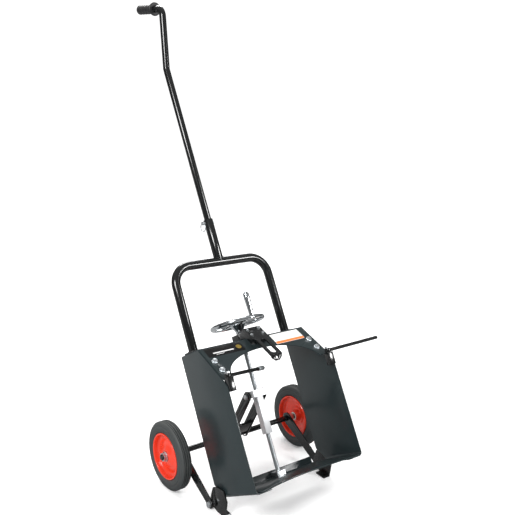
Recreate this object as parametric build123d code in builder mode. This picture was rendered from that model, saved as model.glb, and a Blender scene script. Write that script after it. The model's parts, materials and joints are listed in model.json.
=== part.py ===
from build123d import *
import os
from math import atan2, cos, degrees, hypot, radians, sin

# Two-wheel gas cylinder cart with a screw-driven axle. Millimetres.
# The cart is modelled upright: X to the right as seen from the front, Y to the back, Z up along the legs.
# Every piece is then leant back to its standing position, on its wheels and its two feet.
lean = 30
axle_y, axle_z = -60, 104
plate_top_y, plate_top_z = -340, -62

# tubes and sheet
frame_tube, frame_wall = 32, 3
handle_tube_od, handle_wall = 25.4, 2
sheet = 3
leg_x, leg_y = 198, -250
bar_z, corner_radius = 711, 68
deck_z = 408

# side panels, as distances in front of the Y axis and heights
panel_x = 224
panel_back, panel_front, panel_low, panel_bend = 205, 442, -69, 12
slope_back, slope_front, slope_low_z = 321, 425, 290
slope_run = slope_front - slope_back
slope_fall = deck_z - slope_low_z
slope_length = hypot(slope_run, slope_fall)
panel_flange = 42
cradle_half_width, cradle_depth = 182, 102
bolt_x, bolt_down, bolt_hole = 200, (70, 116), 5.2
nose_half, nose_back, nose_front, nose_dip = 208, 228, 455, 397

# lifting screw and its handwheel
screw_y = -256
screw_radius, screw_low, screw_high = 8, -60, 486
foot_radius, block_half, block_front, block_top = 6, 17, 273, -46
wheel_z, rim_radius, rim_wire = 478, 91, 8.5
knob_radius_at, knob_angle, knob_height = 83, 12, 96
nut_z, nut_height, nut_half_width = 213, 24, 30
pivot_y, pivot_z = -245, 222

# axle, arms and road wheels
axle_radius = 10
swing_y, swing_z = -172, -81
arm_x, arm_thick = 238, 6
arm_axle_end, arm_pivot_end = 22, 14.5
tyre_radius, tyre_width, tyre_bore = 120, 44, 80
tyre_mid_x = 283

# retaining arms and handle
post_x, post_y, post_z = 210, -439.5, 293
arm_length, arm_rod = 200, 6
closed_angle, open_angle = 20, 15.6
sleeve_top, pin_z = 872, 860
running_gap = 0.06

standing = Location((0, 0, 0), (-lean, 0, 0)) * Location((0, -plate_top_y, -plate_top_z))
slope = Plane(origin=(0, -slope_back, deck_z), x_dir=(1, 0, 0), z_dir=(0, -slope_fall, slope_run))

os.makedirs("parts", exist_ok=True)


def write(piece, label):
    piece.part.label = label
    export_step(piece.part.moved(standing), f"parts/{label}.step")


def floor_height(y):
    """Height of the floor in the upright cart's own axes: it slopes, because the standing cart leans back."""
    slant = sin(radians(lean)) / cos(radians(lean))
    return axle_z + (y - axle_y) * slant - tyre_radius / cos(radians(lean))


def bar_between(start, end, width):
    """Round-ended strip between two points of the side view, as a sketch at the origin plane."""
    reach = hypot(end[0] - start[0], end[1] - start[1])
    turn = degrees(atan2(end[1] - start[1], end[0] - start[0]))
    middle = ((start[0] + end[0]) / 2, (start[1] + end[1]) / 2)
    with Locations(Location((*middle, 0), (0, 0, turn))):
        SlotCenterToCenter(reach, width)


# ---------------------------------------------------------------- frame
with BuildPart() as u_frame:
    with BuildLine(Plane.XZ.offset(-leg_y)) as bend:
        FilletPolyline(
            (-leg_x, deck_z + sheet), (-leg_x, bar_z), (leg_x, bar_z), (leg_x, deck_z + sheet),
            radius=corner_radius,
        )
    with BuildSketch(Plane(bend.line @ 0, z_dir=bend.line % 0)):
        Circle(frame_tube / 2)
        Circle(frame_tube / 2 - frame_wall, mode=Mode.SUBTRACT)
    sweep(path=bend.line)
write(u_frame, "u_frame")

with BuildPart() as handle_sleeve:
    with BuildSketch(Plane.XY.offset(bar_z)):
        with Locations((0, leg_y)):
            Circle(17)
            Circle(handle_tube_od / 2 + 0.3, mode=Mode.SUBTRACT)
    extrude(amount=sleeve_top - bar_z)
    with BuildSketch(Plane.YZ.offset(-30)):
        with Locations((leg_y, bar_z)):
            Circle(frame_tube / 2)
    extrude(amount=60, mode=Mode.SUBTRACT)
    with BuildSketch(Plane.YZ.offset(-30)):
        with Locations((leg_y, pin_z)):
            Circle(4.1)
    extrude(amount=60, mode=Mode.SUBTRACT)
write(handle_sleeve, "handle_sleeve")

for side, name in ((-1, "left"), (1, "right")):
    with BuildPart() as leg_foot:
        with BuildSketch(Plane.XY.offset(deck_z + sheet)):
            with Locations((side * leg_x, leg_y)):
                RectangleRounded(44, 56, 6)
                Circle(frame_tube / 2, mode=Mode.SUBTRACT)
        extrude(amount=5)
    write(leg_foot, f"{name}_leg_flange")

    # side panel: sheet turned in under the nose plate and along the slope, with its lower back corner cut off
    with BuildPart() as panel:
        with BuildSketch(Plane.XZ.offset(panel_back)):
            with BuildLine() as section:
                FilletPolyline(
                    (side * (panel_x - 60), panel_low + sheet / 2),
                    (side * (panel_x - sheet / 2), panel_low + sheet / 2),
                    (side * (panel_x - sheet / 2), deck_z),
                    radius=panel_bend,
                )
            trace(line_width=sheet)
        extrude(amount=panel_front - panel_back)
        with BuildSketch(Plane.YZ.offset(side * (panel_x - 150) - (150 if side < 0 else 0))):
            with BuildLine():
                Polyline(
                    (-slope_back, deck_z + 5), (-slope_back, deck_z), (-slope_front, slope_low_z),
                    (-panel_front, slope_low_z - 24), (-panel_front - 5, slope_low_z - 24),
                    (-panel_front - 5, deck_z + 5), close=True,
                )
            make_face()
            with BuildLine():
                Polyline((-panel_back + 5, -24), (-panel_back, -24), (-panel_back - 46, panel_low),
                         (-panel_back - 46, panel_low - 5), (-panel_back + 5, panel_low - 5), close=True)
            make_face()
        extrude(amount=150, mode=Mode.SUBTRACT)
        with BuildSketch(slope.offset(-sheet)):
            with Locations((side * (panel_x - sheet - panel_flange / 2), -slope_length / 2)):
                Rectangle(panel_flange, slope_length - 14)
            with Locations(*[(side * bolt_x, -down) for down in bolt_down]):
                Circle(bolt_hole, mode=Mode.SUBTRACT)
        extrude(amount=sheet)
    write(panel, f"{name}_panel")

with BuildPart() as top_plate:
    with BuildSketch(slope):
        with Locations((0, -slope_length / 2)):
            Rectangle(2 * (panel_x - sheet), slope_length)
        with Locations((0, -slope_length)):
            Ellipse(cradle_half_width, cradle_depth, mode=Mode.SUBTRACT)
        with Locations(*[(s * bolt_x, -down) for s in (-1, 1) for down in bolt_down]):
            Circle(bolt_hole, mode=Mode.SUBTRACT)
    extrude(amount=sheet)
    with BuildSketch(Plane.XY.offset(deck_z)):
        with Locations((0, -(panel_back + slope_back + 2.5) / 2)):
            Rectangle(2 * (panel_x - sheet), slope_back + 2.5 - panel_back)
        with Locations((0, screw_y)):
            Circle(12, mode=Mode.SUBTRACT)
    extrude(amount=sheet)
    with BuildSketch(Plane.XZ.offset(panel_back)):
        with Locations((0, deck_z - 14)):
            Rectangle(2 * (panel_x - sheet), 28)
    extrude(amount=sheet)
write(top_plate, "top_plate")

# nose plate: dipped front edge, an upstand along the back, and a notch for the screw's foot bearing
with BuildPart() as nose_plate:
    with BuildSketch(Plane.XY.offset(panel_low + sheet)):
        with BuildLine():
            edge = Polyline(
                (nose_half - 14, -nose_front), (nose_half, -nose_front + 12), (nose_half, -262),
                (170, -nose_back), (-170, -nose_back), (-nose_half, -262),
                (-nose_half, -nose_front + 12), (-nose_half + 14, -nose_front),
            )
            ThreePointArc(edge @ 1, (0, -nose_dip), edge @ 0)
        make_face()
        with Locations((0, -(nose_back + sheet + block_front) / 2)):
            Rectangle(2 * block_half, block_front - nose_back - sheet, mode=Mode.SUBTRACT)
    extrude(amount=plate_top_z - panel_low - sheet)
    with BuildSketch(Plane.XZ.offset(nose_back)):
        with Locations((0, plate_top_z + 11)):
            Rectangle(2 * 168, 22)
    extrude(amount=sheet)
write(nose_plate, "nose_plate")

# ---------------------------------------------------------------- screw bearings on the frame
with BuildPart() as bearing_block:
    with BuildSketch(Plane.XY.offset(deck_z + sheet)):
        with Locations((0, screw_y)):
            RectangleRounded(52, 50, 6)
            Circle(screw_radius + running_gap, mode=Mode.SUBTRACT)
    extrude(amount=26)
    with BuildSketch(Plane.XY.offset(deck_z - 9)):
        with Locations((0, screw_y)):
            Circle(11.9)
            Circle(screw_radius + running_gap, mode=Mode.SUBTRACT)
    extrude(amount=9 + sheet)
write(bearing_block, "bearing_block")

with BuildPart() as foot_bearing:
    with BuildSketch(Plane.XY.offset(panel_low + sheet)):
        with Locations((0, -(nose_back + sheet + block_front) / 2)):
            Rectangle(2 * block_half, block_front - nose_back - sheet)
        with Locations((0, screw_y)):
            Circle(foot_radius + running_gap, mode=Mode.SUBTRACT)
    extrude(amount=block_top - panel_low - sheet)
write(foot_bearing, "foot_bearing")

# clamp tongue: slotted arm that reaches out over the cradle, parallel to the slope, with its end turned down
tongue_lift, tongue_end, tongue_thick = 24, 128, 5
tongue_tip = slope.from_local_coords((3, -tongue_end, tongue_lift))
screw_spots = ((-20, 16), (28, 16), (-20, -12), (28, -12))
with BuildPart() as clamp_tongue:
    with BuildSketch(slope.offset(tongue_lift)):
        with BuildLine():
            Polyline((-30, 26), (38, 26), (38, -34), (27, -44), (27, -tongue_end), (-21, -tongue_end),
                     (-21, -44), (-30, -34), close=True)
        make_face()
        with Locations((3, -80)):
            SlotCenterToCenter(54, 22, rotation=90, mode=Mode.SUBTRACT)
        with Locations(*screw_spots):
            Circle(2.6, mode=Mode.SUBTRACT)
    extrude(amount=tongue_thick)
    with BuildSketch(Plane.XZ.offset(-tongue_tip.Y - 2)):
        with BuildLine():
            Polyline((-21, tongue_tip.Z + 3), (27, tongue_tip.Z + 3), (23, tongue_tip.Z - 8),
                     (10, post_z + 16), (-4, post_z + 16), (-17, tongue_tip.Z - 8), close=True)
        make_face()
        with Locations((3, tongue_tip.Z - 8)):
            Circle(4.5, mode=Mode.SUBTRACT)
    extrude(amount=5)
write(clamp_tongue, "clamp_tongue")

with BuildPart() as tongue_stand:
    deck_top = deck_z + sheet
    with BuildSketch(Plane.YZ.offset(-26)):
        with BuildLine():
            corners = [slope.from_local_coords(spot) for spot in
                       ((0, 26, tongue_lift), (0, -32, tongue_lift), (0, -32, sheet), (0, 0, sheet))]
            Polyline((-284, deck_top), (-284, deck_top + 24), *[(c.Y, c.Z) for c in corners[:3]],
                     (corners[3].Y - 0.4, corners[3].Z + 1.2), (-slope_back - 2.6, deck_top), close=True)
        make_face()
    extrude(amount=60)
write(tongue_stand, "tongue_stand")


def bolt_place(x, up, out):
    """Place on the slope: so far to the right, up the slope and out from it."""
    return Plane(slope.from_local_coords((x, up, out)), x_dir=(1, 0, 0), z_dir=slope.z_dir)


def hex_bolt(plane, head_width, head_height, shank_radius, length):
    """Hexagon head standing on a plane, with its shank going down through it."""
    with BuildSketch(plane) as head:
        RegularPolygon(radius=head_width / 2, side_count=6, major_radius=False)
    extrude(head.sketch, amount=head_height)
    with BuildSketch(plane) as shank:
        Circle(shank_radius)
    extrude(shank.sketch, amount=-length)


with BuildPart() as plate_bolts:
    for side in (-1, 1):
        for down in bolt_down:
            hex_bolt(bolt_place(side * bolt_x, -down, sheet), 16, 6.5, 5, 16)
write(plate_bolts, "plate_bolts")

with BuildPart() as plate_nuts:
    for side in (-1, 1):
        for down in bolt_down:
            with BuildSketch(bolt_place(side * bolt_x, -down, -sheet)):
                RegularPolygon(radius=8, side_count=6, major_radius=False)
                Circle(5.05, mode=Mode.SUBTRACT)
            extrude(amount=-8)
write(plate_nuts, "plate_nuts")

with BuildPart() as tongue_screws:
    for x, up in screw_spots:
        hex_bolt(bolt_place(x, up, tongue_lift + tongue_thick), 9, 3.5, 2.5, tongue_thick)
write(tongue_screws, "tongue_screws")

label_thick = 0.8
with BuildPart() as left_label:
    with BuildSketch(slope.offset(sheet)):
        with Locations((-134, -27)):
            RectangleRounded(146, 44, 4)
    extrude(amount=label_thick)
write(left_label, "left_label")

with BuildPart() as right_label:
    with BuildSketch(slope.offset(sheet)):
        with Locations((128, -32)):
            RectangleRounded(124, 52, 3)
    extrude(amount=label_thick)
write(right_label, "right_label")

# ---------------------------------------------------------------- lifting screw
with BuildPart() as lead_screw:
    with BuildSketch(Plane.XY.offset(block_top + 0.2)):
        with Locations((0, screw_y)):
            Circle(screw_radius)
    extrude(amount=screw_high - plate_top_z - 16.2)
    with BuildSketch(Plane.XY.offset(screw_low)):
        with Locations((0, screw_y)):
            Circle(foot_radius)
    extrude(amount=block_top + 0.2 - screw_low)
    chamfer(lead_screw.edges().filter_by(GeomType.CIRCLE).sort_by(Axis.Z)[-1], 2)
write(lead_screw, "lead_screw")

knob_x = knob_radius_at * cos(radians(knob_angle))
knob_y = screw_y + knob_radius_at * sin(radians(knob_angle))
knob_low = wheel_z + 11
hub_low = deck_z + sheet + 29
hub_plane = Plane(origin=(0, screw_y, 0), x_dir=(1, 0, 0), z_dir=(0, -1, 0))
with BuildPart() as handwheel:
    with BuildSketch(hub_plane):
        with BuildLine():
            Polyline((screw_radius, hub_low), (15, hub_low), (17, 452), (27, 466), (30, 474),
                     (24, 480), (14, 482), (screw_radius, 482), close=True)
        make_face()
        with Locations((rim_radius, wheel_z)):
            Circle(rim_wire)
    revolve(axis=Axis((0, screw_y, 0), (0, 0, 1)))
    for turn in (knob_angle, knob_angle + 120, knob_angle + 240):
        with BuildSketch(Plane.XY.offset(471)):
            with Locations(Location((0, screw_y, 0), (0, 0, turn))):
                with Locations((54, 0)):
                    Trapezoid(26, 60, 86, rotation=90)
        extrude(amount=7)
    with BuildSketch(Plane.XY.offset(wheel_z)):
        with Locations((knob_x, knob_y)):
            Circle(9.5)
    extrude(amount=11)
    with Locations(Location((0, screw_y, wheel_z))):
        Cylinder(radius=screw_radius, height=200, mode=Mode.SUBTRACT)
write(handwheel, "handwheel")

with BuildPart() as knob_spindle:
    with BuildSketch(Plane.XY.offset(knob_low)):
        with Locations((knob_x, knob_y)):
            Circle(4)
    extrude(amount=knob_height + 2)
    with BuildSketch(Plane.XY.offset(knob_low + knob_height + 1)):
        with Locations((knob_x, knob_y)):
            Circle(6.5)
    extrude(amount=3)
write(knob_spindle, "knob_spindle")

with BuildPart() as crank_knob:
    with BuildSketch(Plane(origin=(knob_x, knob_y, knob_low), x_dir=(1, 0, 0), z_dir=(0, -1, 0))):
        with BuildLine():
            grip_side = Polyline((8, knob_height + 0.5), (4.05, knob_height + 0.5), (4.05, 0.6), (7.5, 0.6),
                                 (8.5, 5))
            Spline(grip_side @ 1, (9.4, 26), (12, 76), (11.2, 92), grip_side @ 0)
        make_face()
    revolve(axis=Axis((knob_x, knob_y, 0), (0, 0, 1)))
write(crank_knob, "crank_knob")

# ---------------------------------------------------------------- lifting nut and its guide tube
with BuildPart() as lift_nut:
    with BuildSketch(Plane.XY.offset(nut_z)):
        with Locations((0, screw_y)):
            Rectangle(2 * nut_half_width, 38)
            Circle(screw_radius + running_gap, mode=Mode.SUBTRACT)
    extrude(amount=nut_height)
    for side in (-1, 1):
        with BuildSketch(Plane.YZ.offset(side * (nut_half_width - 12))):
            with Locations((pivot_y, pivot_z)):
                Circle(5)
        extrude(amount=side * 13, mode=Mode.SUBTRACT)
    chamfer(lift_nut.edges().filter_by(Axis.Z).group_by(Axis.Y)[0], 4)
write(lift_nut, "lift_nut")

with BuildPart() as guide_tube:
    with BuildSketch(Plane.XY.offset(84)):
        with Locations((0, screw_y)):
            RectangleRounded(27, 27, 3)
            Rectangle(22, 22, mode=Mode.SUBTRACT)
    extrude(amount=nut_z - 84)
write(guide_tube, "guide_tube")

# the links' slots leave room round the axle, because the linkage is opened there
link_x, link_thick, slot_play = 34, 5, 4.5
link_turn = degrees(atan2(pivot_z - axle_z, pivot_y - axle_y))
with BuildPart() as link_bolts:
    for side in (-1, 1):
        outer = side * (link_x + link_thick / 2 + 0.4)
        hex_bolt(Plane(origin=(outer, pivot_y, pivot_z), x_dir=(0, 1, 0), z_dir=(side, 0, 0)), 17, 7, 5, 15)
write(link_bolts, "link_bolts")

# ---------------------------------------------------------------- links from the nut back to the axle
for side, name in ((-1, "left"), (1, "right")):
    with BuildPart() as link:
        with BuildSketch(Plane.YZ.offset(side * link_x - link_thick / 2)):
            bar_between((pivot_y, pivot_z), (axle_y, axle_z), 36)
            with Locations((pivot_y, pivot_z)):
                Circle(5.06, mode=Mode.SUBTRACT)
            with Locations(Location((axle_y, axle_z, 0), (0, 0, link_turn))):
                SlotCenterToCenter(2 * slot_play, 2 * axle_radius + 4.4, mode=Mode.SUBTRACT)
        extrude(amount=link_thick)
    write(link, f"{name}_link")

link_way = (0, pivot_y - axle_y, pivot_z - axle_z)
link_plane = Plane(origin=(-(link_x - link_thick / 2), axle_y, axle_z), x_dir=link_way, z_dir=(1, 0, 0))
with BuildPart() as link_web:
    with BuildSketch(link_plane):
        with Locations((52, 13)):
            Rectangle(44, 6)
        with Locations((30, 0)):
            Rectangle(8, 32)
    extrude(amount=2 * link_x - link_thick)
write(link_web, "link_web")

# ---------------------------------------------------------------- axle and trailing arms
axle_half = tyre_mid_x + tyre_width / 2 + 12
foot_back, foot_front = (-190, floor_height(-190)), (-226, floor_height(-226))
with BuildPart() as axle:
    with BuildSketch(Plane.YZ.offset(-axle_half)):
        with Locations((axle_y, axle_z)):
            Circle(axle_radius)
    extrude(amount=2 * axle_half)
    chamfer(axle.edges().filter_by(GeomType.CIRCLE), 1.5)
write(axle, "axle")

for side, name in ((-1, "left"), (1, "right")):
    with BuildPart() as trailing_arm:
        with BuildSketch(Plane.YZ.offset(side * arm_x - arm_thick / 2)):
            with Locations((axle_y, axle_z)):
                Circle(arm_axle_end)
            with Locations((swing_y, swing_z)):
                Circle(arm_pivot_end)
            make_hull()
            with Locations((axle_y, axle_z)):
                Circle(axle_radius, mode=Mode.SUBTRACT)
            with Locations((swing_y, swing_z)):
                Circle(6.06, mode=Mode.SUBTRACT)
        extrude(amount=arm_thick)
    write(trailing_arm, f"{name}_trailing_arm")

    with BuildPart() as pivot_bolt:
        outer = side * (arm_x + arm_thick / 2 + 0.6)
        hex_bolt(Plane(origin=(outer, swing_y, swing_z), x_dir=(0, 1, 0), z_dir=(side, 0, 0)), 18, 7.5, 6,
                 abs(outer) - panel_x + 1.5 - 2)
    write(pivot_bolt, f"{name}_pivot_bolt")

    # bracket at the panel's lower back corner: it carries the arm's pivot and stands on the floor
    with BuildPart() as foot_bracket:
        with BuildSketch(Plane.YZ.offset(side * panel_x + (0 if side > 0 else -6))):
            with BuildLine():
                Polyline(foot_back, foot_front, (-262, -84), (-262, -46), (-226, -30), (-200, -30),
                         (-164, -64), (-158, -84), (-172, -92), close=True)
            make_face()
            with Locations((swing_y, swing_z)):
                Circle(13)
                Circle(6, mode=Mode.SUBTRACT)
        extrude(amount=6)
        with BuildSketch(Plane.YZ.offset(side * panel_x - (22 if side > 0 else 0))):
            with BuildLine():
                Polyline(foot_back, foot_front, (foot_front[0], foot_front[1] + 5.8),
                         (foot_back[0], foot_back[1] + 5.8), close=True)
            make_face()
        extrude(amount=22)
    write(foot_bracket, f"{name}_foot_bracket")

    # road wheel: ribbed solid tyre on a pressed rim, turning on a bush
    wheel_axis = Axis((0, axle_y, axle_z), (1, 0, 0))
    wheel_plane = Plane(origin=(side * tyre_mid_x, axle_y, axle_z), x_dir=(side, 0, 0), z_dir=(0, -1, 0))
    half = tyre_width / 2
    groove_x = (-11, 0, 11)
    with BuildPart() as tyre:
        with BuildSketch(wheel_plane):
            with BuildLine():
                bead = Polyline((-half + 8, tyre_bore), (half - 8, tyre_bore))
                Spline(bead @ 1, (half, tyre_bore + 12), (half - 1, tyre_radius - 12),
                       (half - 6, tyre_radius - 2.5), (half - 10, tyre_radius), tangents=((1, 0.25), (-1, 0.15)))
                Line((half - 10, tyre_radius), (-half + 10, tyre_radius))
                Spline((-half + 10, tyre_radius), (-half + 6, tyre_radius - 2.5),
                       (-half + 1, tyre_radius - 12), (-half, tyre_bore + 12), bead @ 0,
                       tangents=((-1, -0.15), (1, -0.25)))
            make_face()
            with Locations(*[(x, tyre_radius) for x in groove_x]):
                Rectangle(2.6, 5, mode=Mode.SUBTRACT)
        revolve(axis=wheel_axis)
    write(tyre, f"{name}_tyre")

    with BuildPart() as rim:
        with BuildSketch(wheel_plane):
            with BuildLine():
                Polyline((half - 4, tyre_bore), (-half + 4, tyre_bore), (-half + 3, tyre_bore - 4),
                         (-4, tyre_bore - 4), (-4, 56), (4, 42), (10, 26), (10, 20), (-14, 20), (-14, 15),
                         (16, 15), (16, 26), (14, 29), (8, 45), (0, 58), (0, tyre_bore - 4),
                         (half - 3, tyre_bore - 4), close=True)
            make_face()
        revolve(axis=wheel_axis)
    write(rim, f"{name}_rim")

    with BuildPart() as bush:
        with BuildSketch(wheel_plane):
            with Locations((1, (15 + axle_radius + running_gap) / 2)):
                Rectangle(30, 15 - axle_radius - running_gap)
        revolve(axis=wheel_axis)
    write(bush, f"{name}_bush")

    with BuildPart() as inner_collar:
        with BuildSketch(Plane.YZ.offset(side * (arm_x + arm_thick / 2) - (0 if side > 0 else 20))):
            with Locations((axle_y, axle_z)):
                Circle(14)
                Circle(axle_radius, mode=Mode.SUBTRACT)
        extrude(amount=20)
    write(inner_collar, f"{name}_axle_collar")

    with BuildPart() as hub_nut:
        seat = Plane(origin=(side * (tyre_mid_x + 16.6), axle_y, axle_z), x_dir=(0, 1, 0), z_dir=(side, 0, 0))
        with BuildSketch(seat):
            Circle(17)
            Circle(axle_radius, mode=Mode.SUBTRACT)
        extrude(amount=2.5)
        with BuildSketch(seat.offset(2.5)):
            RegularPolygon(radius=14, side_count=6, major_radius=False)
            Circle(axle_radius, mode=Mode.SUBTRACT)
        extrude(amount=10)
    write(hub_nut, f"{name}_hub_nut")

# ---------------------------------------------------------------- retaining arms at the front corners
for side, name in ((-1, "left"), (1, "right")):
    with BuildPart() as hinge_post:
        with BuildSketch(Plane.XY.offset(slope_low_z - 40)):
            with Locations((side * post_x, post_y)):
                Rectangle(22, 22)
                Circle(5, mode=Mode.SUBTRACT)
        extrude(amount=post_z - slope_low_z + 40)
    write(hinge_post, f"{name}_hinge_post")

    with BuildPart() as hinge_bolt:
        hex_bolt(Plane.XY.offset(post_z + 14).move(Location((side * post_x, post_y, 0))), 16, 6.5, 5, 50)
    write(hinge_bolt, f"{name}_hinge_bolt")

    # the left arm is swung in across the cradle, the right one is swung out
    turn = closed_angle if side < 0 else -open_angle
    with BuildPart() as retaining_arm:
        with BuildSketch(Plane.XY.offset(post_z + 0.5)):
            with Locations((side * post_x, post_y)):
                Circle(10.5)
        extrude(amount=13)
        axis_plane = Plane(origin=(side * post_x, post_y, post_z + 7),
                           z_dir=(cos(radians(turn)), sin(radians(turn)), 0))
        with BuildSketch(axis_plane.offset(8)):
            Circle(arm_rod)
        extrude(amount=arm_length - 8)
        fillet(retaining_arm.faces().sort_by(Axis((0, 0, 0), axis_plane.z_dir))[-1].edges(), 4)
        with Locations(Location((side * post_x, post_y, post_z))):
            Cylinder(radius=5.06, height=60, mode=Mode.SUBTRACT)
    write(retaining_arm, f"{name}_retaining_arm")

with BuildPart() as arm_ferrule:
    end_plane = Plane(origin=(-post_x, post_y, post_z + 7),
                      z_dir=(cos(radians(closed_angle)), sin(radians(closed_angle)), 0))
    with BuildSketch(end_plane.offset(arm_length - 34)):
        Circle(arm_rod + 1.6)
        Circle(arm_rod, mode=Mode.SUBTRACT)
    extrude(amount=28)
write(arm_ferrule, "arm_ferrule")

# ---------------------------------------------------------------- removable handle
kink, bend_top = (leg_y, 1484), (-330, 1690)
grip_end = (-186, 1780)
with BuildPart() as handle_tube:
    with BuildLine(Plane.YZ) as handle_line:
        FilletPolyline((leg_y, 745), kink, bend_top, grip_end, radius=34)
    with BuildSketch(Plane(handle_line.line @ 0, z_dir=handle_line.line % 0)):
        Circle(handle_tube_od / 2)
        Circle(handle_tube_od / 2 - handle_wall, mode=Mode.SUBTRACT)
    sweep(path=handle_line.line)
    with BuildSketch(Plane.YZ.offset(-30)):
        with Locations((leg_y, pin_z)):
            Circle(4.1)
    extrude(amount=60, mode=Mode.SUBTRACT)
write(handle_tube, "handle_tube")

grip_run = hypot(grip_end[0] - bend_top[0], grip_end[1] - bend_top[1])
grip_way = ((grip_end[0] - bend_top[0]) / grip_run, (grip_end[1] - bend_top[1]) / grip_run)
grip_plane = Plane(origin=(0, *grip_end), x_dir=(1, 0, 0), z_dir=(0, *grip_way))
with BuildPart() as grip:
    with BuildSketch(Plane(origin=(0, *grip_end), x_dir=(1, 0, 0), z_dir=grip_plane.y_dir * -1)):
        with BuildLine():
            inner = Polyline((0, 0.3), (handle_tube_od / 2, 0.3), (handle_tube_od / 2, -116), (25, -116),
                             (26, -113), (25, -110), (18, -106))
            Spline(inner @ 1, (16.5, -96), (17.8, -78), (16.3, -60), (17.8, -42), (16.3, -24), (18, -8),
                   (15, 4), (8, 8))
            Line((8, 8), (0, 8))
            Line((0, 8), (0, 0.3))
        make_face()
    revolve(axis=Axis((0, *grip_end), (0, *grip_way)))
write(grip, "grip")

ring_radius, ring_hole_x = 15, -24.5
floor_way = (0, cos(radians(lean)), sin(radians(lean)))
down_way = (0, sin(radians(lean)), -cos(radians(lean)))
with BuildPart() as lynch_pin:
    with BuildSketch(Plane.YZ.offset(-29)):
        with Locations((leg_y, pin_z)):
            Circle(6.5)
    extrude(amount=9)
    with BuildSketch(Plane.YZ.offset(-20)):
        with Locations((leg_y, pin_z)):
            Circle(4)
    extrude(amount=44)
    fillet(lynch_pin.faces().sort_by(Axis.X)[-1].edges(), 2.5)
    with BuildSketch(Plane(origin=(ring_hole_x, leg_y - 10 * floor_way[1], pin_z - 10 * floor_way[2]),
                           x_dir=(1, 0, 0), z_dir=floor_way)):
        with Locations((0, 1)):
            Circle(3.2)
    extrude(amount=20, mode=Mode.SUBTRACT)
write(lynch_pin, "lynch_pin")

ring_middle = (ring_hole_x, leg_y + ring_radius * down_way[1], pin_z + ring_radius * down_way[2])
with BuildPart() as pin_ring:
    with BuildSketch(Plane(origin=(ring_hole_x, leg_y, pin_z), x_dir=(1, 0, 0), z_dir=floor_way)):
        Circle(1.5)
    revolve(axis=Axis(ring_middle, (1, 0, 0)))
write(pin_ring, "pin_ring")
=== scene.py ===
import json
import math
import bmesh
import bpy
import numpy as np
from mathutils import Matrix, Vector


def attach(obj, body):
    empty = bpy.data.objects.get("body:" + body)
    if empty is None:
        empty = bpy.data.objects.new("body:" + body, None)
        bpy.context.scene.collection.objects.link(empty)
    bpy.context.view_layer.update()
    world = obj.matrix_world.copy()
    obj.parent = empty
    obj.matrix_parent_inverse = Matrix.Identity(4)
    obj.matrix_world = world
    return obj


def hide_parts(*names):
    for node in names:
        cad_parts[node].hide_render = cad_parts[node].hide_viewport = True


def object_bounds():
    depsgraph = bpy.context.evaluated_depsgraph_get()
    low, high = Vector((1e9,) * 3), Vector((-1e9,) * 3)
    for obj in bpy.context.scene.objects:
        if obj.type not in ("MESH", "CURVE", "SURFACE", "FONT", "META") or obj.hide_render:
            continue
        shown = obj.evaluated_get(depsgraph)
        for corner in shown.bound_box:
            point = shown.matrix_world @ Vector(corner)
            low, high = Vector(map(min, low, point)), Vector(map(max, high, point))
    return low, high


# gas cylinder cart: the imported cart, its finishes, the finer turned pieces, then camera, floor and lights
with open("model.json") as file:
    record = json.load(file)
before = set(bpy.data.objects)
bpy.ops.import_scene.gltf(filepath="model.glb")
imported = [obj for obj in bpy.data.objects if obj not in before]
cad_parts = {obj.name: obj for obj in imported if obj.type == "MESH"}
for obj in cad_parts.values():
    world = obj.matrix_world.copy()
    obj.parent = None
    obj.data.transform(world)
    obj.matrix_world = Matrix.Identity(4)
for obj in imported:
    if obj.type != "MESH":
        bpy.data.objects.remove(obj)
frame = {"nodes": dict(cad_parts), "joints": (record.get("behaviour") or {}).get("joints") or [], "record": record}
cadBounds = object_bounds()
nodes = frame["nodes"]
joints = {joint["name"]: joint for joint in frame["joints"]}
print("frame loaded:", len(nodes), "nodes")

right = Vector((1, 0, 0))
up = Vector(joints["screw_turn"]["axis"]).normalized()  # along the legs and the screw
back = up.cross(right)  # square to the screw, towards the handle's side
screwFoot = Vector(joints["screw_turn"]["pos_m"])
screwFoot = screwFoot - up * screwFoot.dot(up)  # the screw's line where it passes the origin's height


# quads of a rows x cols grid of points; a closed direction joins its last line to its first
def gridFaces(rows, cols, closeRows=False, closeCols=False):
    i = np.arange(rows if closeRows else rows - 1)[:, None]
    j = np.arange(cols if closeCols else cols - 1)[None, :]
    i2, j2 = (i + 1) % rows, (j + 1) % cols
    return np.stack([i * cols + j, i2 * cols + j, i2 * cols + j2, i * cols + j2], -1).reshape(-1, 4)


# points given as right, back and up distances from the screw's foot, placed in the leaning cart
def localToCart(points):
    return np.asarray(points) @ np.array([right, back, up]) + np.array(screwFoot)


class Shell:  # the grids and caps of one piece, before they become its mesh
    def __init__(self):
        self.points, self.faces, self.count = [], [], 0

    def add(self, points, faces):
        self.points.append(np.asarray(points, float).reshape(-1, 3))
        self.faces.extend((np.asarray(faces) + self.count).tolist())
        self.count += len(self.points[-1])

    def grid(self, points, closeRows=False, closeCols=False, capStart=False, capEnd=False):
        rows, cols = points.shape[:2]
        start = self.count
        self.add(points, gridFaces(rows, cols, closeRows, closeCols))
        if capStart:
            self.faces.append([start + k for k in range(cols)])
        if capEnd:
            self.faces.append([start + (rows - 1) * cols + k for k in reversed(range(cols))])


def makePiece(name, shell, body, material, replaced=(), sharp=40):
    mesh = bpy.data.meshes.new(name)
    mesh.from_pydata(np.concatenate(shell.points).tolist(), [], shell.faces)
    mesh.update()
    turnOutwards(mesh)
    mesh.polygons.foreach_set("use_smooth", np.ones(len(mesh.polygons), bool))
    mesh.set_sharp_from_angle(angle=math.radians(sharp))
    mesh.materials.append(material)
    piece = bpy.data.objects.new(name, mesh)
    bpy.context.scene.collection.objects.link(piece)
    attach(piece, body)
    if replaced:
        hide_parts(*replaced)
    return piece


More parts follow.
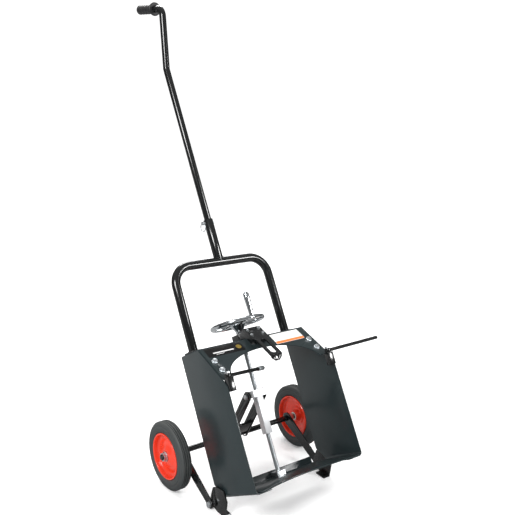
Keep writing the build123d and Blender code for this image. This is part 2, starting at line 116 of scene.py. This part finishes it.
def turnOutwards(mesh):
    work = bmesh.new()
    work.from_mesh(mesh)
    bmesh.ops.remove_doubles(work, verts=work.verts, dist=1e-7)  # one vertex at each pole
    bmesh.ops.recalc_face_normals(work, faces=work.faces)
    work.to_mesh(mesh)
    work.free()


def crossAxes(axis):  # two unit directions square to an axis
    side = Vector((0, 0, 1)) if abs(axis[2]) < 0.9 else Vector((1, 0, 0))
    first = Vector(axis).cross(side).normalized()
    return np.array(first), np.array(Vector(axis).cross(first).normalized())


# surface of revolution: point(t, s) = centre + along(s) * axis + radius(s) * (cos t * a + sin t * b)
def turnedGrid(profile, centre, axis, steps=96):
    a, b = crossAxes(axis)
    along, radius = np.asarray(profile, float).T
    t = np.linspace(0, 2 * math.pi, steps, endpoint=False)
    ring = np.cos(t)[:, None] * a + np.sin(t)[:, None] * b
    return (np.array(centre) + along[:, None, None] * np.array(axis)
            + radius[:, None, None] * ring[None, :, :])


# open polyline with each inner corner replaced by a quadratic curve that starts a radius away from it
def rounded(corners, radii, steps=5):
    corners = np.asarray(corners, float)
    line = [corners[0]]
    s = np.linspace(0, 1, steps)[:, None]
    for before, corner, after, radius in zip(corners, corners[1:], corners[2:], radii):
        start = corner + (before - corner) * min(radius / np.linalg.norm(before - corner), 0.49)
        end = corner + (after - corner) * min(radius / np.linalg.norm(after - corner), 0.49)
        line.extend((1 - s) ** 2 * start + 2 * s * (1 - s) * corner + s ** 2 * end)
    line.append(corners[-1])
    return np.array(line)


# round section carried round a closed path: path(s) + radius(s) * (cos t * a(s) + sin t * b(s))
def ringGrid(path, radius, steps):
    ahead = np.roll(path, -1, 0) - np.roll(path, 1, 0)
    ahead /= np.linalg.norm(ahead, axis=1)[:, None]
    a = path - path.mean(0)
    a -= (a * ahead).sum(1)[:, None] * ahead
    a /= np.linalg.norm(a, axis=1)[:, None]
    b = np.cross(ahead, a)
    t = np.linspace(0, 2 * math.pi, steps, endpoint=False)
    section = np.cos(t)[None, :, None] * a[:, None] + np.sin(t)[None, :, None] * b[:, None]
    return path[:, None] + radius[:, None, None] * section


# finishes
def socketGroup(name, inputs, outputs):
    group = bpy.data.node_groups.new(name, "ShaderNodeTree")
    for label, kind, value in inputs:
        socket = group.interface.new_socket(name=label, in_out="INPUT", socket_type="NodeSocket" + kind)
        if value is not None:
            socket.default_value = value
    for label, kind in outputs:
        group.interface.new_socket(name=label, in_out="OUTPUT", socket_type="NodeSocket" + kind)
    return group, group.nodes.new("NodeGroupInput"), group.nodes.new("NodeGroupOutput")


def mathNode(tree, operation, first, second=None, clamp=False):
    node = tree.nodes.new("ShaderNodeMath")
    node.operation, node.use_clamp = operation, clamp
    for spot, value in ((0, first), (1, second)):
        if value is None:
            continue
        if isinstance(value, (int, float)):
            node.inputs[spot].default_value = value
        else:
            tree.links.new(value, node.inputs[spot])
    return node.outputs[0]


def noiseNode(tree, vector, scale, detail=3.0, roughness=0.55):
    node = tree.nodes.new("ShaderNodeTexNoise")
    node.inputs["Detail"].default_value = detail
    node.inputs["Roughness"].default_value = roughness
    tree.links.new(vector, node.inputs["Vector"])
    if isinstance(scale, (int, float)):
        node.inputs["Scale"].default_value = scale
    else:
        tree.links.new(scale, node.inputs["Scale"])
    return node.outputs["Fac"]


def makeGrain():  # fine surface relief: coarse noise and a little fine noise, round zero
    inputs = (("Vector", "Vector", None), ("Scale", "Float", 60.0), ("Fine", "Float", 0.3))
    group, given, result = socketGroup("surfaceGrain", inputs, (("Height", "Float"),))
    coarse = noiseNode(group, given.outputs["Vector"], given.outputs["Scale"])
    fine = noiseNode(group, given.outputs["Vector"], mathNode(group, "MULTIPLY", given.outputs["Scale"], 6.0))
    total = mathNode(group, "ADD", coarse, mathNode(group, "MULTIPLY", fine, given.outputs["Fine"]))
    group.links.new(mathNode(group, "SUBTRACT", total, 0.6), result.inputs["Height"])
    return group


def makeWear():  # small scuffs, where two noises multiplied pass a threshold
    inputs = (("Vector", "Vector", None), ("Scale", "Float", 18.0), ("Amount", "Float", 0.3))
    group, given, result = socketGroup("scuffMarks", inputs, (("Mask", "Float"),))
    patches = noiseNode(group, given.outputs["Vector"], given.outputs["Scale"], 4.0, 0.65)
    speckScale = mathNode(group, "MULTIPLY", given.outputs["Scale"], 9.0)
    specks = noiseNode(group, given.outputs["Vector"], speckScale, 2.0)
    both = mathNode(group, "MULTIPLY", patches, specks)
    level = mathNode(group, "SUBTRACT", 0.5, mathNode(group, "MULTIPLY", given.outputs["Amount"], 0.3))
    high = mathNode(group, "SUBTRACT", both, level)
    group.links.new(mathNode(group, "MULTIPLY", high, 9.0, clamp=True), result.inputs["Mask"])
    return group


def makeDust():  # dust film on faces that look up, broken by soft noise
    inputs = (("Vector", "Vector", None), ("Amount", "Float", 0.2))
    group, given, result = socketGroup("dustFilm", inputs, (("Mask", "Float"),))
    facing = group.nodes.new("ShaderNodeSeparateXYZ")
    geometry = group.nodes.new("ShaderNodeNewGeometry")
    group.links.new(geometry.outputs["Normal"], facing.inputs[0])
    upward = mathNode(group, "MULTIPLY", mathNode(group, "ADD", facing.outputs["Z"], 0.3), 0.7, clamp=True)
    cloud = noiseNode(group, given.outputs["Vector"], 7.0, 5.0, 0.6)
    mask = mathNode(group, "MULTIPLY", mathNode(group, "MULTIPLY", upward, cloud), given.outputs["Amount"])
    group.links.new(mask, result.inputs["Mask"])
    return group


grainGroup, wearGroup, dustGroup = makeGrain(), makeWear(), makeDust()


# one material from its settings: its colours clean, dusty and worn, how rough it is and how coated
def makeFinish(name, look):
    material = bpy.data.materials.new(name)
    material.use_nodes = True
    tree = material.node_tree
    shader = tree.nodes["Principled BSDF"]
    shader.inputs["Metallic"].default_value = look.get("metal", 0.0)
    shader.inputs["Coat Weight"].default_value = look.get("coat", 0.0)
    shader.inputs["Coat Roughness"].default_value = look.get("coatRough", 0.08)
    shader.inputs["Specular IOR Level"].default_value = look.get("specular", 0.5)
    shader.inputs["Emission Color"].default_value = (1, 1, 1, 1)
    shader.inputs["Emission Strength"].default_value = look.get("glow", 0.0)
    place = tree.nodes.new("ShaderNodeTexCoord").outputs["Object"]

    def groupNode(group, **values):
        node = tree.nodes.new("ShaderNodeGroup")
        node.node_tree = group
        tree.links.new(place, node.inputs["Vector"])
        for label, value in values.items():
            node.inputs[label].default_value = value
        return node.outputs[0]

    def mixed(mask, first, second):
        node = tree.nodes.new("ShaderNodeMix")
        node.data_type = "RGBA"
        tree.links.new(mask, node.inputs["Factor"])
        for spot, colour in ((6, first), (7, second)):
            if isinstance(colour, tuple):
                node.inputs[spot].default_value = (*colour, 1)
            else:
                tree.links.new(colour, node.inputs[spot])
        return node.outputs[2]

    shade = noiseNode(tree, place, look.get("blotch", 9.0), 4.0)
    colour = mixed(shade, look["color"], look.get("shade", tuple(c * 0.75 for c in look["color"])))
    dust = groupNode(dustGroup, Amount=look.get("dust", 0.2))
    colour = mixed(dust, colour, look.get("dustColor", (0.42, 0.41, 0.38)))
    scuff = groupNode(wearGroup, Scale=look.get("scuffScale", 18.0), Amount=look.get("scuff", 0.2))
    colour = mixed(scuff, colour, look.get("worn", tuple(min(1.0, c * 1.6 + 0.02) for c in look["color"])))
    tree.links.new(colour, shader.inputs["Base Color"])
    spread = mathNode(tree, "MULTIPLY", shade, look.get("roughSpread", 0.08))
    rough = mathNode(tree, "ADD", look["rough"], spread)
    rough = mathNode(tree, "ADD", rough, mathNode(tree, "MULTIPLY", scuff, 0.18))
    tree.links.new(mathNode(tree, "ADD", rough, mathNode(tree, "MULTIPLY", dust, 0.5), clamp=True),
                   shader.inputs["Roughness"])
    height = groupNode(grainGroup, Scale=look.get("grain", 90.0), Fine=look.get("fine", 0.3))
    if "brushed" in look:  # fine lines round or along the piece
        stretch = tree.nodes.new("ShaderNodeMapping")
        stretch.inputs["Scale"].default_value = look["brushed"]
        tree.links.new(place, stretch.inputs["Vector"])
        height = mathNode(tree, "ADD", height, noiseNode(tree, stretch.outputs[0], 40.0, 2.0))
    bump = tree.nodes.new("ShaderNodeBump")
    bump.inputs["Strength"].default_value = look.get("bump", 0.1)
    bump.inputs["Distance"].default_value = look.get("depth", 0.0004)
    tree.links.new(height, bump.inputs["Height"])
    tree.links.new(bump.outputs["Normal"], shader.inputs["Normal"])
    return material


finishes = {
    "black_gloss": dict(color=(0.0035, 0.0042, 0.0046), rough=0.14, coat=0.4, dust=0.012, scuff=0.08,
                        grain=160.0, bump=0.05, specular=0.45),
    "slate_paint": dict(color=(0.013, 0.0215, 0.0235), shade=(0.009, 0.016, 0.018), rough=0.26, coat=0.15,
                        coatRough=0.15, dust=0.025, scuff=0.09, grain=120.0, bump=0.06, specular=0.4),
    "chrome": dict(color=(0.72, 0.75, 0.77), shade=(0.62, 0.66, 0.69), metal=1.0, rough=0.07,
                   roughSpread=0.05, dust=0.04, scuff=0.1, bump=0.02),
    "zinc": dict(color=(0.76, 0.79, 0.81), shade=(0.62, 0.66, 0.69), metal=1.0, rough=0.32, dust=0.08,
                 scuff=0.3, worn=(0.36, 0.36, 0.34), bump=0.08, brushed=(1, 1, 25)),
    "white_zinc": dict(color=(0.88, 0.89, 0.9), shade=(0.78, 0.8, 0.82), metal=0.55, rough=0.34,
                       dust=0.06, scuff=0.2, worn=(0.6, 0.6, 0.58), bump=0.07),
    "red_paint": dict(color=(0.68, 0.036, 0.011), shade=(0.57, 0.026, 0.008), rough=0.2, coat=0.4,
                      dust=0.03, scuff=0.15, worn=(0.5, 0.06, 0.04), bump=0.05),
    "tyre_rubber": dict(color=(0.028, 0.034, 0.035), shade=(0.019, 0.023, 0.024), rough=0.5,
                        roughSpread=0.16, dust=0.18, scuff=0.4, scuffScale=30.0, worn=(0.075, 0.08, 0.078),
                        grain=220.0, bump=0.22),
    "grip_rubber": dict(color=(0.012, 0.012, 0.0135), rough=0.42, roughSpread=0.12, dust=0.16, scuff=0.3,
                        grain=420.0, bump=0.3),
    "bush_plastic": dict(color=(0.78, 0.76, 0.7), rough=0.45, dust=0.1),
    "label_black": dict(color=(0.002, 0.002, 0.0023), rough=0.4, dust=0.01, scuff=0.05, bump=0.02,
                        specular=0.3),
    "label_white": dict(color=(0.8, 0.8, 0.77), shade=(0.74, 0.74, 0.71), rough=0.35, dust=0.05, scuff=0.25,
                        worn=(0.55, 0.55, 0.52), bump=0.02),
}
materials = {name: makeFinish(name + "_finish", look) for name, look in finishes.items()}
markInks = {
    "orangeInk": makeFinish("orangeInk", dict(color=(0.85, 0.19, 0.03), rough=0.35, dust=0.04)),
    "greyInk": makeFinish("greyInk", dict(color=(0.3, 0.3, 0.3), rough=0.4, dust=0.04)),
    "paleInk": makeFinish("paleInk", dict(color=(0.7, 0.7, 0.7), rough=0.35, dust=0.04)),
    "goldFoil": makeFinish("goldFoil", dict(color=(0.75, 0.53, 0.12), rough=0.25, metal=0.9, dust=0.04)),
}
slotOf = {part["node"]: part["material_slot"] for part in frame["record"]["subparts"]}
for name, node in nodes.items():
    node.data.materials.clear()
    node.data.materials.append(materials[slotOf[name]])
print("finishes made:", len(materials) + len(markInks))

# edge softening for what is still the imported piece
edgeSoftening = {"weld": 0.00002, "flat": 2.0, "width": 0.0007, "roundWidth": 0.0003, "angle": 32.0}


# joins a node's loose triangles, melts the flat ones together and rounds its sharp edges
def softenEdges(node, width):
    weld = node.modifiers.new("joinTriangles", "WELD")
    weld.merge_threshold = edgeSoftening["weld"]
    melt = node.modifiers.new("meltFlats", "DECIMATE")
    melt.decimate_type = "DISSOLVE"
    melt.angle_limit = math.radians(edgeSoftening["flat"])
    bevel = node.modifiers.new("roundEdges", "BEVEL")
    bevel.width, bevel.segments = width, 2
    bevel.limit_method, bevel.angle_limit = "ANGLE", math.radians(edgeSoftening["angle"])
    bevel.use_clamp_overlap = True
    bevel.harden_normals = True
    node.data.polygons.foreach_set("use_smooth", np.ones(len(node.data.polygons), bool))


# road wheels
wheelLook = {"radius": 0.120, "bore": 0.080, "half": 0.022, "grooves": (-0.0122, -0.0041, 0.0041, 0.0122),
             "grooveHalf": 0.0017, "grooveDepth": 0.0042, "steps": 160}


# half of a solid tyre's section, mirrored: bead, bulged side wall with a rib, shoulder, then a grooved tread
def tyreProfile(look):
    half, radius, bore = look["half"], look["radius"], look["bore"]
    side = rounded([(half - 0.0075, bore + 0.0002), (half - 0.002, bore + 0.003), (half, bore + 0.014),
                    (half - 0.0004, bore + 0.021), (half - 0.0016, bore + 0.0225),
                    (half - 0.0014, bore + 0.029), (half - 0.0048, radius - 0.0032), (half - 0.0095, radius)],
                   (0.002, 0.006, 0.0012, 0.0012, 0.004, 0.004))
    x = np.linspace(half - 0.0096, -(half - 0.0096), 121)
    cut = sum(np.clip(1.4 - np.abs(x - groove) / look["grooveHalf"], 0, 1) for groove in look["grooves"])
    tread = np.stack([x, radius - look["grooveDepth"] * np.clip(cut, 0, 1)], 1)
    return np.concatenate([side, tread, (side * (-1, 1))[::-1]])


def rimProfile(look):  # pressed rim: rolled lip, well under the tyre, deep dish and a hub tube
    half, bore = look["half"], look["bore"]
    outer = [(half - 0.002, bore + 0.0006), (half, bore - 0.001), (half - 0.001, bore - 0.0045),
             (half - 0.008, bore - 0.006), (0.004, bore - 0.0075), (0.000, 0.060), (0.0045, 0.050),
             (0.0065, 0.040), (0.0125, 0.028), (0.0155, 0.0235), (0.016, 0.0152), (-0.0138, 0.0152),
             (-0.0138, 0.0205), (0.007, 0.0215), (0.009, 0.027), (0.003, 0.039), (0.0012, 0.049),
             (-0.0035, 0.060), (-0.002, bore - 0.006), (-half + 0.008, bore - 0.0055),
             (-half + 0.001, bore - 0.0045), (-half, bore - 0.001), (-half + 0.002, bore + 0.0006)]
    return rounded(outer, [0.0016, 0.0016, 0.003, 0.006, 0.006, 0.004, 0.004, 0.004, 0.002, 0.001, 0.001,
                           0.001, 0.001, 0.002, 0.004, 0.004, 0.006, 0.006, 0.003, 0.0016, 0.0016])


def makeWheel(side, look):
    turn = (1, 0, 0) if side == "right" else (-1, 0, 0)
    hub = Vector(joints[side + "_wheel_spin"]["pos_m"])
    body, rubber, paint = side + "_wheel", materials["tyre_rubber"], materials["red_paint"]
    shell = Shell()
    shell.grid(turnedGrid(tyreProfile(look), hub, turn, look["steps"]), closeRows=True, closeCols=True)
    makePiece(side + "_ribbed_tyre", shell, body, rubber, [side + "_tyre"], 28)
    shell = Shell()
    shell.grid(turnedGrid(rimProfile(look), hub, turn, look["steps"]), closeRows=True, closeCols=True)
    makePiece(side + "_pressed_rim", shell, body, paint, [side + "_rim"], 35)


for side in ("left", "right"):
    makeWheel(side, wheelLook)
print("wheels made")

# lead screw with its thread
screwLook = {"radius": 0.008, "depth": 0.0011, "pitch": 0.004, "starts": 2, "turnSteps": 40,
             "riseStep": 0.0005, "threadFrom": 0.0165, "threadTo": 0.458, "fade": 0.006,
             "bottom": 0.002, "pinRadius": 0.006, "top": 0.548, "topChamfer": 0.0015}


# threaded rod: radius(t, z) = R - depth * a trapezoid wave of (z / lead - t / 2 pi), faded out at both ends
def makeLeadScrew(look):
    zFrom, zTo = look["threadFrom"], look["threadTo"]
    z = np.arange(zFrom, zTo, look["riseStep"])
    t = np.linspace(0, 2 * math.pi, look["turnSteps"], endpoint=False)
    lead = look["pitch"] * look["starts"]
    phase = (z[:, None] / lead - t[None, :] / (2 * math.pi)) * look["starts"] % 1.0
    wave = np.clip((0.5 - np.abs(phase - 0.5)) * 5 - 0.75, 0, 1)
    fade = np.clip(np.minimum(z - zFrom, zTo - z) / look["fade"], 0, 1)[:, None]
    radius = look["radius"] - look["depth"] * wave * fade
    shaft = np.stack([radius * np.cos(t), radius * np.sin(t), np.broadcast_to(z[:, None], radius.shape)], -1)
    shell = Shell()
    shell.grid(localToCart(shaft), closeCols=True, capStart=True, capEnd=True)
    rod, topFrom, chamfer = look["radius"], zTo - 0.00375, look["topChamfer"]  # overlaps the thread
    top = [(topFrom, 0.0), (topFrom, rod), (look["top"] - chamfer, rod), (look["top"], rod - chamfer),
           (look["top"], 0.0)]
    shell.grid(turnedGrid(top, screwFoot, up, 40), closeCols=True)
    low, high, pinRadius = look["bottom"], zFrom + 0.002, look["pinRadius"]
    pin = [(low, 0.0), (low, pinRadius), (high, pinRadius), (high, 0.0)]
    shell.grid(turnedGrid(pin, screwFoot, up, 32), closeCols=True)
    makePiece("threaded_screw", shell, "screw", materials["zinc"], ["lead_screw"], 30)


makeLeadScrew(screwLook)
print("lead screw made")

# handwheel, crank knob
handwheelLook = {"height": 0.540, "rimRadius": 0.091, "rimWire": 0.0085, "spokes": 3,
                 "phase": math.radians(12), "dishDrop": 0.0055, "spokeHalf": 0.0165,
                 "spokeWaist": 0.0065, "spokeThick": 0.0036, "knobLift": 0.0116}


# torus rim, three waisted spokes, a turned hub with a long boss under it, and the knob's boss
def makeHandwheel(look):
    shell = Shell()
    centre = screwFoot + up * look["height"]
    t = np.linspace(0, 2 * math.pi, 40, endpoint=False)
    wire = np.stack([look["rimWire"] * np.sin(t), look["rimRadius"] + look["rimWire"] * np.cos(t)], 1)
    shell.grid(turnedGrid(wire, centre, up, 128), closeRows=True, closeCols=True)
    hub = rounded([(-0.038, 0.0081), (-0.038, 0.0145), (-0.026, 0.0155), (-0.014, 0.024), (-0.0065, 0.030),
                   (0.0015, 0.027), (0.003, 0.0155), (0.0045, 0.0135), (0.0045, 0.0081)],
                  (0.001, 0.006, 0.006, 0.004, 0.004, 0.002, 0.001))
    shell.grid(turnedGrid(hub, centre, up, 96), closeRows=True, closeCols=True)
    s = np.linspace(0, 1, 14)
    around = np.linspace(0, 2 * math.pi, 24, endpoint=False)
    for k in range(look["spokes"]):
        turn = look["phase"] + 2 * math.pi * k / look["spokes"]
        out = 0.020 + s * (look["rimRadius"] - 0.018)
        width = look["spokeHalf"] - look["spokeWaist"] * np.sin(math.pi * s)
        drop = -look["dishDrop"] * np.sin(math.pi * s) - 0.001
        flat = np.sign(np.cos(around)) * np.abs(np.cos(around)) ** 0.6
        thick = np.sign(np.sin(around)) * np.abs(np.sin(around)) ** 0.8
        across = width[:, None] * flat[None, :]
        x = out[:, None] * math.cos(turn) - across * math.sin(turn)
        y = out[:, None] * math.sin(turn) + across * math.cos(turn)
        z = look["height"] + drop[:, None] + look["spokeThick"] * thick[None, :]
        shell.grid(localToCart(np.stack([x, y, z], -1)), closeCols=True, capStart=True, capEnd=True)
    knob = Vector(joints["knob_spin"]["pos_m"])
    knobFoot = knob - up * (knob - centre).dot(up)
    boss = [(0.0, 0.0), (0.0, 0.0095), (0.0095, 0.0095), (0.0108, 0.0082), (0.0108, 0.0)]
    shell.grid(turnedGrid(boss, knobFoot, up, 48), closeCols=True)
    makePiece("polished_handwheel", shell, "screw", materials["chrome"], ["handwheel"], 40)
    grip = rounded([(0.0, 0.0041), (0.0, 0.0075), (0.005, 0.0088), (0.028, 0.0094), (0.076, 0.0119),
                    (0.091, 0.0114), (0.0957, 0.0080), (0.0957, 0.0041)],
                   (0.001, 0.003, 0.01, 0.01, 0.005, 0.003))
    shell = Shell()
    shell.grid(turnedGrid(grip, knobFoot + up * look["knobLift"], up, 64), closeRows=True, closeCols=True)
    makePiece("turned_crank_knob", shell, "crank_knob", materials["chrome"], ["crank_knob"], 40)


makeHandwheel(handwheelLook)
print("handwheel made")

# handle grip
gripLook = {"endBack": 0.154, "endUp": 1.842, "run": 0.144, "rise": 0.090, "length": 0.106, "radius": 0.0168,
            "swell": 0.0007, "fingers": 5, "ribHeight": 0.00022, "ribs": 34}


# moulded sleeve: radius(s) = R + swell * cos(fingers) + rib * |sin(ribs)|, with a flange and a domed end
def makeGrip(look):
    end = back * look["endBack"] + up * look["endUp"]
    way = (back * look["run"] + up * look["rise"]).normalized()
    s = np.linspace(-look["length"], 0.002, 420)
    t = (s + look["length"]) / look["length"]
    wave = look["swell"] * np.cos(2 * math.pi * look["fingers"] * t)
    rib = look["ribHeight"] * np.abs(np.sin(math.pi * look["ribs"] * t))
    body = np.stack([s, look["radius"] + wave + rib], 1)
    flange = rounded([(0.0005, 0.0), (0.0005, 0.0129), (-0.1158, 0.0129), (-0.1158, 0.0225),
                      (-0.1125, 0.0257), (-0.1095, 0.0235), (-0.107, 0.0183), tuple(body[0])],
                     (0.0001, 0.0005, 0.002, 0.003, 0.003, 0.002))
    dome = rounded([tuple(body[-1]), (0.0052, 0.0158), (0.0078, 0.009), (0.0079, 0.0)], (0.003, 0.004))
    profile = np.concatenate([flange, body[1:], dome[1:]])
    shell = Shell()
    shell.grid(turnedGrid(profile, end, way, 72), closeCols=True)
    makePiece("moulded_grip", shell, "frame", materials["grip_rubber"], ["grip"], 45)


makeGrip(gripLook)

# weld beads
beadLook = {"radius": 0.0023, "ripple": 0.0004, "pitch": 0.0032, "legSide": 0.198, "legBack": 0.006,
            "legRing": 0.0168, "flangeTop": 0.478, "barUp": 0.773, "barRing": 0.0163, "sleeveRing": 0.0176,
            "sleeveHalf": 0.0150}


# round bead on a closed path: its radius swells once every ripple pitch of the path's length
def beadGrid(path, look):
    steps = np.linalg.norm(np.diff(path, axis=0), axis=1)
    run = np.concatenate([[0], np.cumsum(steps)])
    return ringGrid(path, look["radius"] + look["ripple"] * np.cos(2 * math.pi * run / look["pitch"]), 10)


# a ring round each leg, and a saddle where the sleeve meets the bar: up = sqrt(R^2 - across^2)
def makeBeads(look):
    t = np.linspace(0, 2 * math.pi, 240, endpoint=False)
    x, y = look["legRing"] * np.cos(t), look["legBack"] + look["legRing"] * np.sin(t)
    legs = (-look["legSide"], look["legSide"])
    paths = [np.stack([leg + x, y, look["flangeTop"] + 0 * t], -1) for leg in legs]
    across = look["sleeveHalf"] * np.sin(t)
    paths.append(np.stack([look["sleeveRing"] * np.cos(t), look["legBack"] + across,
                           look["barUp"] + np.sqrt(look["barRing"] ** 2 - across ** 2)], -1))
    shell = Shell()
    for path in paths:
        shell.grid(beadGrid(localToCart(path), look), closeRows=True, closeCols=True)
    makePiece("frame_weld_beads", shell, "frame", materials["black_gloss"], (), 60)


makeBeads(beadLook)

# washers and label marks on the sloping plate
slopeFoot = back * 0.019 + up * 0.470  # where the slope starts, below the deck's front edge
slopeUp = (back * 0.104 + up * 0.118).normalized()
slopeOut = right.cross(slopeUp)
plateLook = {"sheet": 0.003, "film": 0.0038, "ink": 0.0002, "boltSide": 0.200, "boltDown": (0.070, 0.116),
             "rows": ((0, 0.104), (-0.004, 0.096), (0, 0.104), (-0.010, 0.084), (0, 0.104), (-0.006, 0.092),
                      (-0.022, 0.06))}


def onSlope(points):  # points given as right, up the slope and out of it
    return np.asarray(points, float) @ np.array([right, slopeUp, slopeOut]) + np.array(slopeFoot)


# flat mark with a round-cornered outline, from one height above the slope to another
def markGrid(x, y, width, height, corner, low, high, steps=12):
    t = np.linspace(0, 2 * math.pi, 4 * steps, endpoint=False) + math.pi / (4 * steps)
    cx, cy = np.sign(np.cos(t)) * (width / 2 - corner), np.sign(np.sin(t)) * (height / 2 - corner)
    outline = np.stack([x + cx + corner * np.cos(t), y + cy + corner * np.sin(t)], -1)
    rings = [np.concatenate([outline, np.full((len(t), 1), level)], 1) for level in (low, high)]
    return onSlope(np.stack(rings))


def makeMarks(look):
    low, high = look["film"] - 0.0001, look["film"] + look["ink"]
    plans = (  # name, slot, ink, then each mark's x, y, width, height and corner
        ("left_label_bars", "label_black", "paleInk",
         [(-0.143, -0.033, 0.082, 0.0052, 0.001), (-0.160, -0.041, 0.030, 0.002, 0.0005)]),
        ("left_label_disc", "label_black", "goldFoil", [(-0.078, -0.027, 0.020, 0.020, 0.0099)]),
        ("right_label_band", "label_white", "orangeInk", [(0.128, -0.0515, 0.122, 0.0115, 0.001)]),
        ("right_label_lines", "label_white", "greyInk",
         [(0.128 + shift, -0.0125 - 0.0046 * row, width, 0.0011, 0.0003)
          for row, (shift, width) in enumerate(look["rows"])]),
    )
    for name, slotName, ink, marks in plans:
        shell = Shell()
        for x, y, width, height, corner in marks:
            mark = markGrid(x, y, width, height, corner, low, high)
            shell.grid(mark, closeCols=True, capStart=True, capEnd=True)
        makePiece(name, shell, "frame", markInks[ink], (), 30)
    shell = Shell()
    washer = rounded([(0.0, 0.0053), (0.0, 0.0103), (0.0014, 0.0103), (0.0014, 0.0053)], (0.0003, 0.0004))
    for x in (-look["boltSide"], look["boltSide"]):
        for down in look["boltDown"]:
            foot = Vector(onSlope((x, -down, look["sheet"])))
            shell.grid(turnedGrid(washer, foot, slopeOut, 40), closeRows=True, closeCols=True)
    makePiece("plate_washers", shell, "frame", materials["zinc"], (), 35)


makeMarks(plateLook)
print("grip, beads, marks and washers made")

# round pieces get a narrower bevel; replaced ones get none
roundOnly = ("u_frame", "handle_tube", "pin_ring", "lynch_pin", "axle", "left_bush", "right_bush",
             "arm_ferrule", "left_retaining_arm", "right_retaining_arm")
replacedNodes = ("left_tyre", "right_tyre", "left_rim", "right_rim", "lead_screw", "handwheel", "crank_knob",
                 "grip")
for name, node in nodes.items():
    if name not in replacedNodes:
        softenEdges(node, edgeSoftening["roundWidth" if name in roundOnly else "width"])
print("edges softened")

# camera, floor, lights
cameraLook = {"place": (-1.38443, -1.56993, 1.22714), "aim": (0.58327, 0.77351, -0.24794),
              "upward": (0.12164, 0.21862, 0.96820), "lens": 49.06, "shiftX": 0.0100, "shiftY": 0.0241}


def makeCamera(look):
    data = bpy.data.cameras.new("studioCamera")
    data.lens, data.sensor_width = look["lens"], 36.0
    data.shift_x, data.shift_y = look["shiftX"], look["shiftY"]
    data.clip_start, data.clip_end = 0.05, 60
    camera = bpy.data.objects.new("studioCamera", data)
    forward = Vector(look["aim"]).normalized()
    upward = Vector(look["upward"]).normalized()
    sideways = forward.cross(upward).normalized()
    turn = Matrix((sideways, sideways.cross(forward), -forward)).transposed().to_4x4()
    camera.matrix_world = Matrix.Translation(look["place"]) @ turn
    bpy.context.scene.collection.objects.link(camera)
    bpy.context.scene.camera = camera


# shows a material darker to glossy rays, so that polished pieces have something dark round them
def dimForReflections(material, amount):
    tree = material.node_tree
    shader = tree.nodes["Principled BSDF"]
    colour = shader.inputs["Base Color"].links[0].from_socket
    lightPath = tree.nodes.new("ShaderNodeLightPath")
    mix = tree.nodes.new("ShaderNodeMix")
    mix.data_type = "RGBA"
    tree.links.new(lightPath.outputs["Is Glossy Ray"], mix.inputs["Factor"])
    tree.links.new(colour, mix.inputs[6])
    mix.inputs[7].default_value = (amount, amount, amount, 1)
    tree.links.new(mix.outputs[2], shader.inputs["Base Color"])


floorLook = {"reach": 14.0, "reflected": 0.2,
             "paint": dict(color=(0.93, 0.93, 0.93), shade=(0.92, 0.92, 0.92), rough=0.7, dust=0.0, scuff=0.0,
                           bump=0.0, glow=0.1)}


def makeFloor(look):
    mesh = bpy.data.meshes.new("studioFloor")
    reach, height = look["reach"], cadBounds[0][2]
    corners = [(x * reach, y * reach, height) for x, y in ((-1, -1), (1, -1), (1, 1), (-1, 1))]
    mesh.from_pydata(corners, [], [(0, 1, 2, 3)])
    mesh.materials.append(makeFinish("floorPaint", look["paint"]))
    dimForReflections(mesh.materials[0], look["reflected"])
    floor = bpy.data.objects.new("studioFloor", mesh)
    bpy.context.scene.collection.objects.link(floor)


lightLook = [
    {"name": "keyLight", "place": (-3.0, -0.9, 2.9), "target": (0, 0.1, 0.5), "size": 1.3, "power": 110},
    {"name": "fillLight", "place": (2.4, -2.6, 2.2), "target": (0, 0.1, 0.5), "size": 0.9, "power": 70},
    {"name": "rimLight", "place": (0.9, 3.0, 3.0), "target": (0, 0, 0.5), "size": 1.6, "power": 80},
]


def makeLights():
    for look in lightLook:
        data = bpy.data.lights.new(look["name"], "AREA")
        data.size, data.energy = look["size"], look["power"]
        lamp = bpy.data.objects.new(look["name"], data)
        aim = Vector(look["target"]) - Vector(look["place"])
        turn = aim.to_track_quat("-Z", "Y").to_matrix().to_4x4()
        lamp.matrix_world = Matrix.Translation(look["place"]) @ turn
        bpy.context.scene.collection.objects.link(lamp)


airLook = {"plain": 1.1, "glossyLow": 0.07, "glossyRise": 0.36}


# even white air, but dark and brighter towards the top for glossy rays
def makeAir(look):
    world = bpy.data.worlds.new("studioAir")
    world.use_nodes = True
    tree = world.node_tree
    lightPath = tree.nodes.new("ShaderNodeLightPath")
    direction = tree.nodes.new("ShaderNodeSeparateXYZ")
    tree.links.new(tree.nodes.new("ShaderNodeTexCoord").outputs["Generated"], direction.inputs[0])
    rise = mathNode(tree, "MULTIPLY", direction.outputs["Z"], look["glossyRise"])
    sky = mathNode(tree, "ADD", rise, look["glossyLow"], clamp=True)
    glossy = lightPath.outputs["Is Glossy Ray"]
    plain = mathNode(tree, "MULTIPLY", mathNode(tree, "SUBTRACT", 1.0, glossy), look["plain"])
    strength = mathNode(tree, "ADD", plain, mathNode(tree, "MULTIPLY", glossy, sky))
    tree.links.new(strength, tree.nodes["Background"].inputs["Strength"])
    tree.nodes["Background"].inputs["Color"].default_value = (1, 1, 1, 1)
    bpy.context.scene.world = world
    bpy.context.scene.view_settings.view_transform = "Standard"


makeCamera(cameraLook)
makeFloor(floorLook)
makeLights()
makeAir(airLook)
print("stage made")
